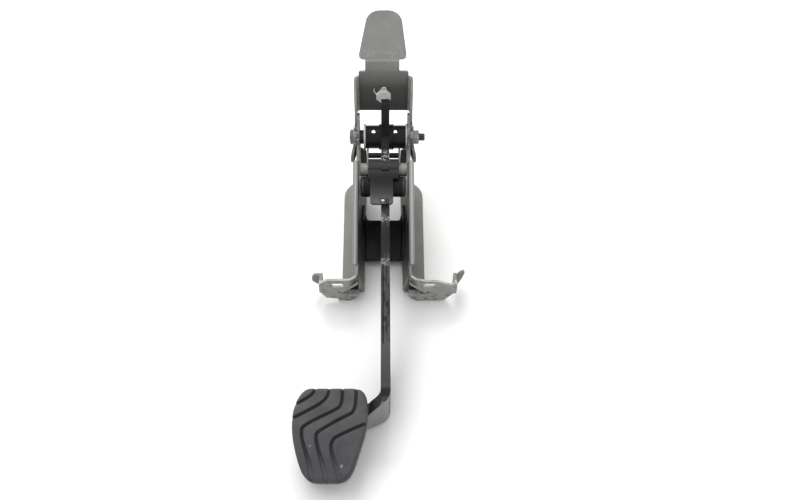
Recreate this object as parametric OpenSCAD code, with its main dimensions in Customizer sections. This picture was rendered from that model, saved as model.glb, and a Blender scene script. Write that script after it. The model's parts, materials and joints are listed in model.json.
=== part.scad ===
// Brake pedal hung in its pressed steel bracket, lying on the bracket's mounting face.
// X runs across the bracket, +Y runs from the pad towards the top tab, and z = 0 is the mounting face.
// The pedal swings about the pivot bolt, which lies along X.

/* [Bracket] */
// Thickness of the bracket's sheet steel
sheet = 2.5; // [2:0.1:3]
// Clear width between the two cheeks
gap_w = 48; // [46:0.5:52]
// How far each cheek steps inwards at its foot
cheek_lean = 5.4; // [3:0.2:6]
// Height at which the leaning part of a cheek turns upright
lean_h = 29; // [25:1:29]
// Height at which the leaning part of a cheek starts
lean_low = 7; // [5:1:10]
// Width of the lip along a cheek's front edge
lip_w = 5.6; // [5:0.1:7]
// Outer bend radius of the lip
lip_r = 3.6; // [3.2:0.1:4]
// Length of the base, from the feet to the far end of the wings
base_len = 171; // [162:1:180]
// Distance from the middle to the outer edge of a wing at the feet
wing_near = 40; // [38:0.5:44]
// Distance from the middle to the outer edge of a wing at its far end
wing_far = 43; // [40:0.5:46]
// Corner radius at the far end of a wing
wing_r = 28; // [14:1:28]

/* [Feet] */
// Height of the cheeks' front edges where they bend into the feet
foot_h = 30; // [29:0.5:34]
// Outer radius of the bend between a cheek and its foot
foot_r = 10.5; // [8:0.5:12]
// Distance from the middle to the centre of a foot slot
slot_x = 43; // [41:0.5:46]
// Height of the foot slots above the mounting face
slot_z = 23; // [21.5:0.5:23.5]
// Length of a foot slot, end to end
slot_len = 12; // [9:0.5:13]
// Width of a foot slot
slot_w = 5.2; // [4.8:0.1:6]
// Depth of the ear that is bent back from a foot's outer end
ear_depth = 16; // [12:1:20]
// Width of the tab on a foot's ear
ear_tab = 8.5; // [6:0.5:10]

/* [Cross web] */
// Width of the cross web from its lower to its upper edge
web_len = 48.5; // [40:0.5:54]
// Lean of the cross web from level
web_tilt = 9; // [4:0.5:12]

/* [Upper bracket] */
// Height of the top edge of the end wall
end_top = 143.5; // [140:0.5:148]
// Height of the lower edge of the end wall
end_low = 98.5; // [95:0.5:100]
// Position of the end wall's front face
end_y = 92; // [90:0.5:94]
// Outer corner radius of the upper bracket
corner_r = 6; // [5:0.5:8]
// Radius of the bracket's eye round the pivot bolt
eye_r = 15; // [13:0.5:16]
// Width of the neck below the tab
neck_w = 33.3; // [28:0.5:36]
// Length of the neck
neck_len = 10.5; // [9:0.5:13]
// Length of the tab
tab_len = 51.3; // [44:0.5:56]
// Width of the tab where it leaves the neck
tab_low_w = 46.2; // [42:0.2:50]
// Width of the tab at its tip
tab_tip_w = 36.2; // [32:0.2:40]
// Slope of the tab from level
tab_tilt = 31; // [25:1:40]

/* [Pivot] */
// Position of the pivot bolt along the bracket
pivot_y = 68; // [67:0.5:69]
// Height of the pivot bolt above the mounting face
pivot_z = 83; // [82:0.5:84]
// Diameter of the pivot bolt
bolt_d = 7.9; // [7.5:0.1:8]
// Clearance round the bolt in the sheet steel, on the radius
hole_gap = 0.2; // [0.1:0.05:0.3]
// Running clearance of a bush on its pin, on the radius
run_gap = 0.06; // [0.02:0.01:0.09]
// Free length of thread beyond the nut
bolt_tail = 6; // [4:0.5:8]
// Outer diameter of the pivot tube
tube_d = 23.4; // [22.4:0.2:23.4]
// Wall of the pivot tube
tube_t = 1.5; // [1.2:0.1:2]
// Left end of the pivot tube
tube_left = -18; // [-19:0.5:-17.5]
// Diameter of the drain holes through the pivot tube
drain_d = 4; // [3:0.2:4.4]

/* [Pedal] */
// Thickness of the pedal arm
arm_t = 8; // [7:0.5:9]
// Left face of the pedal arm
arm_x = -2.3; // [-3:0.1:-2]
// Radius of the arm's boss round the pivot tube
boss_r = 12.7; // [12.4:0.1:13.2]
// Length of the arm's boss along the tube
boss_len = 12.7; // [11:0.1:14]
// Radius of the sideways bend of the arm, at its middle
bend_r = 10; // [8:0.5:14]
// Angle through which the arm is bent sideways
bend_turn = 60; // [55:1:64]
// Diameter of the cross tube under the arm
cross_d = 20; // [18:0.5:20]
// Bore of the cross tube's bushes, for the push rod's pin
rod_bore = 10.1; // [8:0.1:11]
// Diameter of the tongue pin
pin_d = 8; // [7:0.1:8.5]
// Thickness of the tongue plate and of the side links
plate_t = 1.6; // [1.5:0.1:1.8]
// Outer radius of the tongue plate's rolled end
roll_r = 10.7; // [10.4:0.1:11]

/* [Pad] */
// Width of the rubber pad at its widest
pad_w = 59; // [54:1:62]
// Length of the rubber pad
pad_len = 71.5; // [66:0.5:74]
// Thickness of the rubber pad
pad_t = 12; // [10:0.5:12]
// Lean of the pad from level
pad_tilt = 17; // [14:1:19]
// Thickness of the steel plate under the pad
pad_plate_t = 3; // [2.5:0.1:4]
// Width of the grooves in the tread
groove_w = 2.6; // [2:0.1:3.2]
// Depth of the grooves in the tread
groove_d = 2.4; // [1.5:0.1:3]

/* [Hidden] */
$fn = 48;

grey = [0.53, 0.53, 0.51];
black = [0.11, 0.11, 0.12];
zinc = [0.62, 0.62, 0.60];
nylon = [0.66, 0.66, 0.64];
rubber = [0.16, 0.17, 0.17];

// A cut reaches this far past the face that it opens
past = 1;

// The two cheeks
wall_in = gap_w / 2;
wall_out = wall_in + sheet;
lip_out = wall_in + lip_w;
foot_y = -78;
wing_end_y = foot_y + base_len + 1;
lip_top = [28, 86];
lip_end = [-58, foot_h];
lip_dir = lip_top - lip_end;
lip_len = norm(lip_dir);
lip_angle = atan2(lip_dir[1], lip_dir[0]);
wing_start_y = foot_y + foot_r + 4;
bend_in = 1.5;
small_hole = [slot_x - 1, 13];
foot_notch = [slot_x - 2, 1.2];
rear_y = 83;
return_in = 18;
pivot = [pivot_y, pivot_z];

// The cross web's lower edge as [y, z], its far end and its fillets
web_low = [-33.5, 7];
web_back = 50;
web_fillet = 3;
web_half = 17.3;
horn_tip = 77;
flange_h = 9;
flange_end = 68;

// The upper bracket lies flat on the outside of the cheeks
side_in = wall_out;
side_out = side_in + sheet;
tail_in = lip_out + 0.2;
tail_tip = [45, 78];
tail_r = 7;
tail_dir = tail_tip - pivot;
tail_angle = atan2(tail_dir[1], tail_dir[0]);
joggle_near = 12;
joggle_far = 30;
end_back = end_y + sheet;
plan_y = 80;
corner_cut = 5.5;
top_half = 24.5;
neck_shift = -1.2;
neck_bend = 4;
tab_start = 0.3;
tab_low_shift = -0.8;
tab_tip_shift = 0.4;

// The stop in the end wall
stop_z = 121;
clip_w = 15;
clip_len = 9.5;
clip_bore = 10;
nose_w = 5;
nose_h = 8;
nose_drop = 2;
barb_len = 2.5;
stop_gap = 0.3;

// The pivot, from head to thread
washer_t = 1.3;
washer_r = 11;
head_t = 4;
nut_t = 5.4;
hex_w = 13;
tube_right = wall_in - 1.8;
end_gap = 0.3;
flange_r = tube_d / 2 + 1.6;
bush_len = 6;
left_flange_t = 1.8;
right_flange_t = wall_in - end_gap - tube_right;
spacer_r = 7;
tube_fit = 0.05;
drain_turn = 52.7;
drain_lift = 4.8;
drain_x = [-10.2, 12];

// The pedal arm, its lever and its places for tubes and pins
lever_front = 61;
lever_back = 72.6;
lever_top = 126.5;
boss_x = 2.8 - boss_len / 2;
bend_at = -195;
boss_end_y = pivot_y + 17;
arm_end = 38;
arm_low = 0.3;
arm_slope = 27.5;
slope_top = 32.6;
link_x = wall_in - 9;
roll = [31, 71];
cross = [18, 60];
bar = [45.6, 77.2];
bar_r = 2.7;
bar_half = link_x;
link_eye_r = 6.9;
slot_y = 21.5;
tongue_wide = 15;
pin_bush_r = 6.5;
cross_left = 1.2 - wall_in;
cross_right = wall_in - 2.2;
cross_bush_t = 3;

// The pad's own frame: its middle on top, and its lean
pad_mid = [-41.8, -233, 30];
pad_under = pad_t - pad_plate_t - 2;

// Points of an arc from angle a0 to a1
function arc(mid, r, a0, a1, n = 8) =
    [for (i = [0:n]) mid + r * [cos(a0 + (a1 - a0) * i / n), sin(a0 + (a1 - a0) * i / n)]];

// Points of a cubic curve
function curve(a, b, c, d, n = 8) =
    [for (i = [0:n]) let (t = i / n, s = 1 - t) s * s * s * a + 3 * s * s * t * b + 3 * s * t * t * c + t * t * t * d];

// Direction of a line of points at point i, and the same line moved sideways by d
function way(p, i) = let (v = p[min(i + 1, len(p) - 1)] - p[max(i - 1, 0)]) v / norm(v);
function beside(p, d) = [for (i = [0:len(p) - 1]) p[i] + d * [-way(p, i)[1], way(p, i)[0]]];
function reversed(p) = [for (i = [len(p) - 1:-1:0]) p[i]];

// A strip of sheet between a line of points and the same line moved sideways by t
module strip(p, t) {
    polygon(concat(p, reversed(beside(p, t))));
}

// Stands an outline drawn in (y, z) up as a plate from x0 to x1
module across(x0, x1) {
    translate([x0, 0, 0])
        rotate([90, 0, 90])
            linear_extrude(x1 - x0)
                children();
}

// Stands an outline drawn in (x, z) up as a plate from y0 to y1
module along(y0, y1) {
    translate([0, y1, 0])
        rotate([90, 0, 0])
            linear_extrude(y1 - y0)
                children();
}

// A round bar along X through a point given as [y, z]
module axle(at, x0, x1, r) {
    translate([x0, at[0], at[1]])
        rotate([0, 90, 0])
            cylinder(h = x1 - x0, r = r);
}

// A round tube along X
module sleeve(at, x0, x1, r_out, r_in) {
    difference() {
        axle(at, x0, x1, r_out);
        axle(at, x0 - past, x1 + past, r_in);
    }
}

// A hexagon along X, with its flats dist apart
module hexagon_bar(at, x0, x1, flats) {
    translate([x0, at[0], at[1]])
        rotate([0, 90, 0])
            cylinder(h = x1 - x0, d = flats / cos(30), $fn = 6);
}

// A rectangle with round corners, from (x0, y0) to (x1, y1)
module round_rect(x0, y0, x1, y1, r) {
    translate([x0 + r, y0])
        square([x1 - x0 - 2 * r, y1 - y0]);
    translate([x0, y0 + r])
        square([x1 - x0, y1 - y0 - 2 * r]);
    for (x = [x0 + r, x1 - r], y = [y0 + r, y1 - r])
        translate([x, y])
            circle(r);
}

// Section of the right cheek in (x, z): wing, bend, stepped wall and upright wall
module cheek_section() {
    low = wall_in - cheek_lean;
    bend = [low + sheet + bend_in, sheet + bend_in];
    polygon(concat(
        [[wing_far + past, 0], [wing_far + past, sheet]],
        arc(bend, bend_in, -90, -180, 4),
        [[low + sheet, lean_low], [wall_out, lean_h], [wall_out, end_top]],
        [[wall_in, end_top], [wall_in, lean_h], [low, lean_low]],
        arc(bend, bend_in + sheet, 180, 270, 5)));
}

// Side outline of a cheek in (y, z), up to the line on which its lip starts
module cheek_side() {
    drop = (lip_r + past / 2) * [sin(lip_angle), -cos(lip_angle)];
    inset = lip_dir / lip_len;
    polygon(concat(
        [[wing_start_y, 0], [foot_y + foot_r, 0], [foot_y + foot_r, foot_h]],
        [lip_end + [-2, 0], lip_end + drop + inset, lip_top + drop + inset],
        [pivot + [-9, 10.5], [71, 101], [75, 104], [80, 104], [rear_y, 100], [rear_y, 40]],
        arc([wing_end_y - 14, 26], 12, 20, -20, 4),
        [[wing_end_y, sheet], [wing_end_y, 0]]));
}

// Outline of a wing and of all that stands on it, seen from above
module wing_plan() {
    corner = [wing_far - wing_r, wing_end_y - wing_r];
    polygon(concat(
        [[0, wing_start_y], [wing_near, wing_start_y]],
        arc(corner, wing_r, 0, 90, 10),
        [[0, wing_end_y]]));
    translate([0, foot_y + foot_r])
        square([wall_out + 0.1, wing_start_y - foot_y - foot_r + past]);
}

// The lip, folded outwards along the front edge of the right cheek
module lip() {
    translate([0, lip_end[0], lip_end[1]])
        rotate([lip_angle, 0, 0])
            intersection() {
                rotate([-90, 0, 0])
                    mirror([0, 1, 0])
                        linear_extrude(lip_len)
                            lip_section();
                linear_extrude(40, center = true)
                    lip_plan();
            }
}

module lip_section() {
    intersection() {
        translate([wall_in + lip_r, -lip_r])
            difference() {
                circle(lip_r);
                circle(lip_r - sheet);
            }
        translate([wall_in, -lip_r])
            square(lip_r);
    }
    translate([wall_in + lip_r - 0.1, -sheet])
        square([lip_w - lip_r + 0.1, sheet]);
    translate([wall_in, -lip_r - past])
        square([sheet, past + 0.1]);
}

module lip_plan() {
    round_end = 2.4;
    translate([wall_in, 0])
        square([lip_w, lip_len - round_end]);
    translate([wall_in, 0])
        square([lip_w - round_end, lip_len]);
    translate([lip_out - round_end, lip_len - round_end])
        circle(round_end);
}

// The upright foot flange on the right, with its bend into the cheek.
// The outline is the flange seen from the front, in (x, z).
module foot(outline) {
    translate([wall_in + foot_r, foot_y + foot_r, 0])
        rotate([0, 0, 180])
            rotate_extrude(angle = 90)
                translate([foot_r - sheet, 0])
                    square([sheet, foot_h]);
    along(foot_y, foot_y + sheet)
        difference() {
            polygon(outline);
            foot_slot();
            translate(foot_notch)
                circle(2.6);
        }
}

module foot_slot() {
    half = (slot_len - slot_w) / 2;
    translate([slot_x - half, slot_z - slot_w / 2])
        square([2 * half, slot_w]);
    for (x = [-half, half])
        translate([slot_x + x, slot_z])
            circle(slot_w / 2);
}

// The dart pressed into the bend of the right foot, as a wedge of a given size
module dart(grow) {
    low = [wall_in - past, foot_y - past, 9 - grow];
    polyhedron(
        points = [
            low,
            [slot_x - 1 + grow, foot_y - past, 10],
            [wall_in - past, foot_y + 19 + grow, 10],
            [wall_in - past, foot_y - past, 26 + grow]
        ],
        faces = [[0, 1, 2], [0, 3, 1], [0, 2, 3], [1, 3, 2]]);
}

// The ear bent back from the outer end of the right foot, at distance x from the middle,
// with its tab, drawn in (x, z) from the ear's lower corner
module ear(x, low, high, tab) {
    across(x - sheet, x)
        polygon([
            [foot_y, low + 4],
            [foot_y, high + 2.5],
            [foot_y + ear_depth, high],
            [foot_y + ear_depth, low],
            [foot_y + ear_depth * 0.5, low + 1]
        ]);
    translate([x - 0.8, 0, low])
        along(foot_y + ear_depth - sheet, foot_y + ear_depth)
            polygon(tab);
}

// A right cheek: wall, wing and lip in one pressing, with its foot
module cheek(foot_outline, ear_x, ear_low, ear_high, tab) {
    difference() {
        union() {
            intersection() {
                along(foot_y, wing_end_y)
                    cheek_section();
                across(0, wing_far)
                    cheek_side_and_wing();
                linear_extrude(end_top)
                    wing_plan();
            }
            lip();
            along(rear_y - sheet, rear_y)
                return_flange();
            difference() {
                union() {
                    foot(foot_outline);
                    ear(ear_x, ear_low, ear_high, tab);
                    intersection() {
                        dart(sheet * 1.3);
                        translate([wall_in, foot_y, 0])
                            cube([slot_x, foot_r * 2, foot_h]);
                    }
                }
                dart(0);
                along(foot_y - past, foot_y + sheet + past)
                    translate(small_hole)
                        circle(1.3);
            }
        }
        axle(pivot, 0, wing_far, bolt_d / 2 + hole_gap);
    }
}

// Short flange bent inwards at the rear edge of the right cheek, in (x, z)
module return_flange() {
    polygon([[return_in, 34], [wall_in + past, 30], [wall_in + past, 59], [return_in, 54]]);
}

module cheek_side_and_wing() {
    cheek_side();
    translate([wing_start_y, 0])
        square([wing_end_y - wing_start_y, sheet]);
}

// Foot outlines in (x, z), each from the bend outwards, and the tabs on their ears
left_foot = [
    [wall_in + foot_r - 0.1, 0], [38, 1.4], [44, 3.5], [54.5, 5], [60.5, 14], [60.5, 24], [57, 27.5], [53, foot_h],
    [wall_in + foot_r - 0.1, foot_h]
];
right_foot = [
    [wall_in + foot_r - 0.1, 0], [50, 0.7], [58, 1.5], [66, 11], [69, 12], [69, 25], [67, 25.5], [63, 23.5], [51, 27.8],
    [wall_in + foot_r - 0.1, foot_h - 0.5]
];
left_tab = [[0, 0], [ear_tab * 0.5, 0.5], [ear_tab, 5], [ear_tab, 10], [ear_tab * 0.7, 13.4], [0, 13]];
right_tab = [
    [0, 0], [ear_tab * 0.3, 0], [ear_tab * 0.8, 11], [ear_tab, 18], [ear_tab * 0.85, 20],
    [ear_tab * 0.5, 18], [0, 12]
];

module left_cheek() {
    color(grey)
        mirror([1, 0, 0])
            cheek(left_foot, 60.5, 9, 22.4, left_tab);
}

module right_cheek() {
    color(grey)
        cheek(right_foot, 69, 7.5, 22.5, right_tab);
}

// The web that ties the cheeks together under the arm, with a flange along each cheek
module cross_web() {
    color(black)
        intersection() {
            union() {
                web_frame()
                    linear_extrude(sheet)
                        web_plan();
                difference() {
                    web_frame()
                        across(-wall_out, wall_out)
                            web_flange_side();
                    along(web_low[0] - past, web_back + past)
                        web_flange_gap();
                }
            }
            along(web_low[0] - past, web_back)
                cheek_gap();
            linear_extrude(foot_h * 2)
                web_ends();
        }
}

// Moves to the web's own frame: it starts at the web's lower edge and leans with it
module web_frame() {
    translate([0, web_low[0], web_low[1]])
        rotate([web_tilt, 0, 0])
            children();
}

// Cross web in its own plane, with a horn on each side that runs out along the cheek
module web_plan() {
    horn = [
        [web_half + 1.2, web_len + 7.5], [web_half + 2.7, web_len + 13], [wall_in - 1.4, horn_tip - 5.5],
        [wall_in + past, horn_tip]
    ];
    difference() {
        translate([-wall_in, 0])
            square([gap_w, horn_tip - past]);
        polygon(concat(
            arc([web_half - web_fillet, web_len + web_fillet], web_fillet, 0, -90, 5),
            arc([web_fillet - web_half, web_len + web_fillet], web_fillet, -90, -180, 5),
            [for (p = horn) [-p[0], p[1]]],
            [[-wall_in - past, horn_tip + past], [wall_in + past, horn_tip + past]],
            reversed(horn)));
    }
}

// Side outline of the web's flanges, measured along the web and square to it
module web_flange_side() {
    polygon([
        [0, 0], [0, flange_h - 2], [3, flange_h], [flange_end - 22, flange_h],
        [flange_end, sheet + 0.6], [flange_end, 0]
    ]);
}

// Rounds the lower corners of the cross web, seen from above
module web_ends() {
    round_rect(-wall_in - past, web_low[0], wall_in + past, web_back, 4);
}

// The space between the two cheeks, in (x, z)
module cheek_gap() {
    low = wall_in - cheek_lean;
    polygon([
        [-low, 4], [low, 4], [low, lean_low], [wall_in, lean_h],
        [wall_in, lip_top[1]], [-wall_in, lip_top[1]], [-wall_in, lean_h], [-low, lean_low]
    ]);
}

// The same space between the web's side flanges
module web_flange_gap() {
    low = wall_in - cheek_lean - sheet;
    wide = wall_in - sheet;
    polygon([
        [-low, 3], [low, 3], [low, lean_low], [wide, lean_h],
        [wide, end_low], [-wide, end_low], [-wide, lean_h], [-low, lean_low]
    ]);
}

// Side outline of the upper bracket in (y, z)
module bracket_side() {
    tail_n = [-tail_dir[1], tail_dir[0]] / norm(tail_dir);
    polygon(concat(
        [[end_back, end_low], [end_back, end_top], [end_y, end_top], [end_y - 2, end_top - corner_cut]],
        curve([end_y - 6, end_top - corner_cut], [80, 126], [76, 120], [79, 106], 6),
        [pivot + [5, 14], pivot, pivot + [14, -3], [end_y - 2, end_low]]));
    translate(pivot)
        circle(eye_r);
    polygon([
        pivot + (eye_r - 3) * tail_n,
        pivot - (eye_r - 3) * tail_n,
        tail_tip - tail_r * tail_n,
        tail_tip + tail_r * tail_n
    ]);
    translate(tail_tip)
        circle(tail_r);
}

// The joggled side wall on the right: flat on the cheek, then outside its lip
module bracket_wall() {
    reach = 60;
    translate([0, pivot[0], pivot[1]])
        rotate([tail_angle, 0, 0])
            linear_extrude(4 * reach, center = true)
                polygon([
                    [side_in, -reach], [side_in, joggle_near], [tail_in, joggle_far], [tail_in, reach],
                    [tail_in + sheet, reach], [tail_in + sheet, joggle_far - 0.5],
                    [side_out, joggle_near - 0.5], [side_out, -reach]
                ]);
}

// End wall with its bent corners, seen from above
module end_wall_plan() {
    difference() {
        round_rect(-side_out, 40, side_out, end_back, corner_r);
        round_rect(-side_in, 20, side_in, end_y, corner_r - sheet);
        translate([-wing_far, 0])
            square([2 * wing_far, plan_y]);
    }
}

// Tab outline, from the neck outwards
module tab_plan() {
    tip_r = 14;
    low_r = 4;
    half_low = tab_low_w / 2;
    half_tip = tab_tip_w / 2;
    polygon(concat(
        arc([tab_low_shift + half_low - low_r, low_r], low_r, -90, 5, 5),
        arc([tab_tip_shift + half_tip - tip_r, tab_len - tip_r], tip_r, 5, 90, 8),
        arc([tab_tip_shift + tip_r - half_tip, tab_len - tip_r], tip_r, 90, 175, 8),
        arc([tab_low_shift + low_r - half_low, low_r], low_r, 175, 270, 5)));
}

module upper_bracket() {
    neck_base = [end_y + sheet / 2, end_top];
    neck_top = neck_base + neck_len * [cos(60), sin(60)];
    color(grey)
        difference() {
            union() {
                intersection() {
                    union() {
                        translate([0, 0, pivot_z - eye_r])
                            linear_extrude(end_top - corner_cut - pivot_z + eye_r)
                                end_wall_plan();
                        along(end_y, end_back)
                            round_rect(-top_half, end_low, top_half, end_top, 2);
                        intersection() {
                            union() {
                                bracket_wall();
                                mirror([1, 0, 0])
                                    bracket_wall();
                            }
                            translate([-wing_far, 0, 0])
                                cube([2 * wing_far, plan_y + 2, end_top]);
                        }
                    }
                    across(-wing_far, wing_far)
                        bracket_side();
                }
                neck_and_tab(neck_base, neck_top);
            }
            for (x = [-wing_far, 0])
                axle(pivot, x, x + wing_far, bolt_d / 2 + hole_gap);
            translate([0, end_y - past, stop_z])
                rotate([-90, 0, 0])
                    cylinder(h = sheet + 2 * past, r = clip_bore / 2);
        }
}

// Neck and tab: one strip bent twice, cut to the neck's width and the tab's outline
module neck_and_tab(base, top) {
    foot = base + [sheet / 2, 0];
    lean = 64;
    cut_back = neck_bend * tan((lean - tab_tilt) / 2);
    turn_mid = top - cut_back * [cos(lean), sin(lean)] + neck_bend * [sin(lean), -cos(lean)];
    line = concat(
        [foot - [0, 3]],
        arc(foot + [neck_bend, 0], neck_bend, 180, 90 + lean, 4),
        arc(turn_mid, neck_bend, 90 + lean, 90 + tab_tilt, 5),
        [top + 2 * tab_len * [cos(tab_tilt), sin(tab_tilt)]]);
    intersection() {
        across(-wing_far, wing_far)
            strip(line, sheet);
        union() {
            along(0, top[0] + 3)
                neck_front();
            translate([0, top[0], top[1]])
                rotate([tab_tilt, 0, 0])
                    linear_extrude(4 * sheet, center = true)
                        translate([0, tab_start])
                            tab_plan();
        }
    }
}

// The neck seen from the front, in (x, z), with a fillet on each side of its base
module neck_front() {
    half = neck_w / 2;
    fillet = 1.6;
    inner = half - 0.06;
    translate([neck_shift - half, 0])
        square([neck_w, 2 * end_top]);
    for (side = [-1, 1])
        translate([neck_shift, end_top - 0.06])
            scale([side, 1])
                polygon(concat(
                    [[inner - past, fillet], [inner - past, -past], [inner + fillet, -past]],
                    arc([inner + fillet, fillet], fillet, -90, -180, 4)));
}

// Nylon clip snapped into the end wall: an eight sided collar, a nose for the lever and a barb
module stop_clip() {
    color(nylon) {
        translate([0, end_y, stop_z])
            rotate([90, 0, 0])
                rotate([0, 0, 22.5])
                    cylinder(h = clip_len, d = clip_w / cos(22.5), $fn = 8);
        translate([0, end_y - past, stop_z])
            rotate([-90, 0, 0])
                cylinder(h = past + sheet + 0.1, r = clip_bore / 2 - hole_gap);
        translate([0, end_back + 0.1, stop_z])
            rotate([-90, 0, 0])
                cylinder(h = barb_len, r1 = clip_bore / 2 + 1.2, r2 = clip_bore / 2 - 1);
        along(lever_back + stop_gap, end_y - clip_len + past)
            translate([-nose_w / 2, stop_z - nose_drop - nose_h / 2])
                round_rect(0, 0, nose_w, nose_h, 1.5);
    }
}

// Pivot bolt: flange, hexagon head, shank and plain thread
module pivot_bolt() {
    head = -side_out - washer_t;
    thread_end = side_out + washer_t + nut_t + bolt_tail;
    color(zinc) {
        axle(pivot, head - 1, head, bolt_d + 0.5);
        hexagon_bar(pivot, head - head_t, head - 0.9, hex_w);
        axle(pivot, head - 0.1, thread_end - 1, bolt_d / 2);
        translate([thread_end - 1, pivot[0], pivot[1]])
            rotate([0, 90, 0])
                cylinder(h = 1, r1 = bolt_d / 2, r2 = bolt_d / 2 - 1);
    }
}

module left_washer() {
    color(grey)
        sleeve(pivot, -side_out - washer_t, -side_out, washer_r - 1.5, bolt_d / 2 + hole_gap);
}

module right_washer() {
    color(grey)
        sleeve(pivot, side_out, side_out + washer_t, washer_r, bolt_d / 2 + hole_gap);
}

// Nut with both faces chamfered
module pivot_nut() {
    x0 = side_out + washer_t;
    color(zinc)
        difference() {
            intersection() {
                hexagon_bar(pivot, x0, x0 + nut_t, hex_w);
                translate([x0, pivot[0], pivot[1]])
                    rotate([0, 90, 0])
                        rotate_extrude()
                            polygon([
                                [0, 0], [hex_w / 2 + 0.2, 0], [hex_w / 2 + 1.2, 0.8],
                                [hex_w / 2 + 1.2, nut_t - 0.8], [hex_w / 2 + 0.2, nut_t], [0, nut_t]
                            ]);
            }
            axle(pivot, x0 - past, x0 + nut_t + past, bolt_d / 2 + tube_fit);
        }
}

// Spacer ring that fills the wider gap on the left
module pivot_spacer() {
    color(zinc)
        sleeve(pivot, -wall_in, tube_left - left_flange_t - end_gap, spacer_r, bolt_d / 2 + hole_gap);
}

// Pivot tube with two drain holes drilled straight through
module pivot_tube() {
    color(black)
        difference() {
            sleeve(pivot, tube_left, tube_right, tube_d / 2, tube_d / 2 - tube_t);
            for (x = drain_x)
                translate([x, pivot[0], pivot[1]])
                    rotate([drain_turn, 0, 0])
                        translate([0, drain_lift, 0])
                            cylinder(h = 2 * tube_d, d = drain_d, center = true);
        }
}

// Flanged bush pressed into an end of the pivot tube
module pivot_bush(x_in, x_end, x_flange) {
    lo = min(x_in, x_end);
    hi = max(x_in, x_end);
    color(nylon)
        difference() {
            union() {
                axle(pivot, lo, hi, tube_d / 2 - tube_t - tube_fit);
                axle(pivot, min(x_end, x_flange), max(x_end, x_flange), flange_r);
            }
            axle(pivot, -gap_w, gap_w, bolt_d / 2 + run_gap);
        }
}

module left_bush() {
    pivot_bush(tube_left + bush_len, tube_left, tube_left - left_flange_t);
}

module right_bush() {
    pivot_bush(tube_right - bush_len, tube_right, tube_right + right_flange_t);
}

// Side outline of the arm in (y, z): lever, boss and bar
module arm_side() {
    polygon(concat(
        arc([lever_front + 3, lever_top - 3], 3, 180, 90, 4),
        arc([lever_back - 2, lever_top - 2], 2, 90, 0, 4),
        [[lever_back, stop_z - 6], pivot + [10, 4]],
        [pivot + [6, -11]],
        curve([52, 62], [38, 50], [20, 45], [-23, 42], 6),
        curve([-23, 42], [-55, 40], [-80, 37], [-108, 29.5], 5),
        curve([-108, 29.5], [-145, 19], [-170, arm_low], [-196, arm_low], 6),
        [[-205, 0.8], [-209, 1.7], [-212.6, 3.6], [-217, 7], [-232, 14], [-250, 15], [-250, 22]],
        [[-220, 26], [-213, 29], [-209, 31.2], [-205, 33], [-201, 34.2]],
        curve([-195, 35.5], [-170, 38.5], [-150, 44], [-108, 53], 6),
        curve([-108, 53], [-75, 59], [-45, 60], [-23, 67], 5),
        [[-19, 68], [0, 70.3], [15, 72], [slot_y, 74.6]],
        arc(roll, roll_r - 0.4, 138, 65, 7),
        [[46, 82.5]],
        [pivot + [-10, 7]]));
    translate(pivot)
        circle(boss_r - 0.5);
}

// The arm seen from above, made wider by grow: straight, then bent sideways under the pad
module arm_plan(grow) {
    mid_x = arm_x + arm_t / 2;
    bend = [mid_x - bend_r, bend_at];
    end_dir = [-sin(bend_turn), -cos(bend_turn)];
    last = bend + bend_r * [cos(bend_turn), -sin(bend_turn)];
    line = concat([[mid_x, boss_end_y]], arc(bend, bend_r, 0, -bend_turn, 8), [last + arm_end * end_dir]);
    half = arm_t / 2 + grow;
    polygon(concat(beside(line, half), reversed(beside(line, -half))));
}

module pedal_arm() {
    color(black)
        difference() {
            union() {
                intersection() {
                    across(-pad_w, gap_w)
                        arm_side();
                    linear_extrude(end_top)
                        arm_plan(0);
                }
                axle(pivot, boss_x, boss_x + boss_len, boss_r);
            }
            axle(pivot, -gap_w, gap_w, tube_d / 2 + tube_fit);
            axle(cross, -gap_w, gap_w, cross_d / 2 + tube_fit);
            axle(roll, -gap_w, gap_w, pin_d / 2 + tube_fit);
            axle(bar, -gap_w, gap_w, bar_r + tube_fit);
            pad_frame()
                translate([-pad_w, -pad_len, -pad_under - pad_plate_t])
                    cube([1.5 * pad_w + 1.3, 2 * pad_len, pad_len]);
            above_arm();
        }
}

// The room above the arm's end, where its top runs down from the bend to the pad
module above_arm() {
    translate([arm_x + arm_t / 2 - bend_r, bend_at, slope_top])
        rotate([0, 0, -90 - bend_turn])
            translate([0, bend_r, 0])
                rotate([0, arm_slope, 0])
                    translate([-2 * bend_r, -arm_t, 0])
                        cube([arm_end + 2 * bend_r, 2 * arm_t, foot_h]);
}

// Side outline of a link plate between the pivot tube and the tongue pin
module link_side() {
    difference() {
        union() {
            polygon([
                [50, 66], [63, 73], [60, 78], [54, 79.5], [48, 79.5],
                roll + [-6, 5], roll + [2, -8]
            ]);
            translate(roll)
                circle(link_eye_r);
        }
        translate(pivot)
            circle(tube_d / 2 + tube_fit);
    }
}

module link(x0) {
    color(zinc)
        difference() {
            across(x0, x0 + plate_t)
                link_side();
            axle(roll, x0 - past, x0 + plate_t + past, pin_d / 2 + tube_fit);
        }
}

module left_link() {
    link(-link_x - plate_t);
}

module right_link() {
    link(link_x);
}

// Round bar between the links, through the arm
module link_bar() {
    color(black)
        axle(bar, -bar_half, bar_half, bar_r);
}

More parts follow.
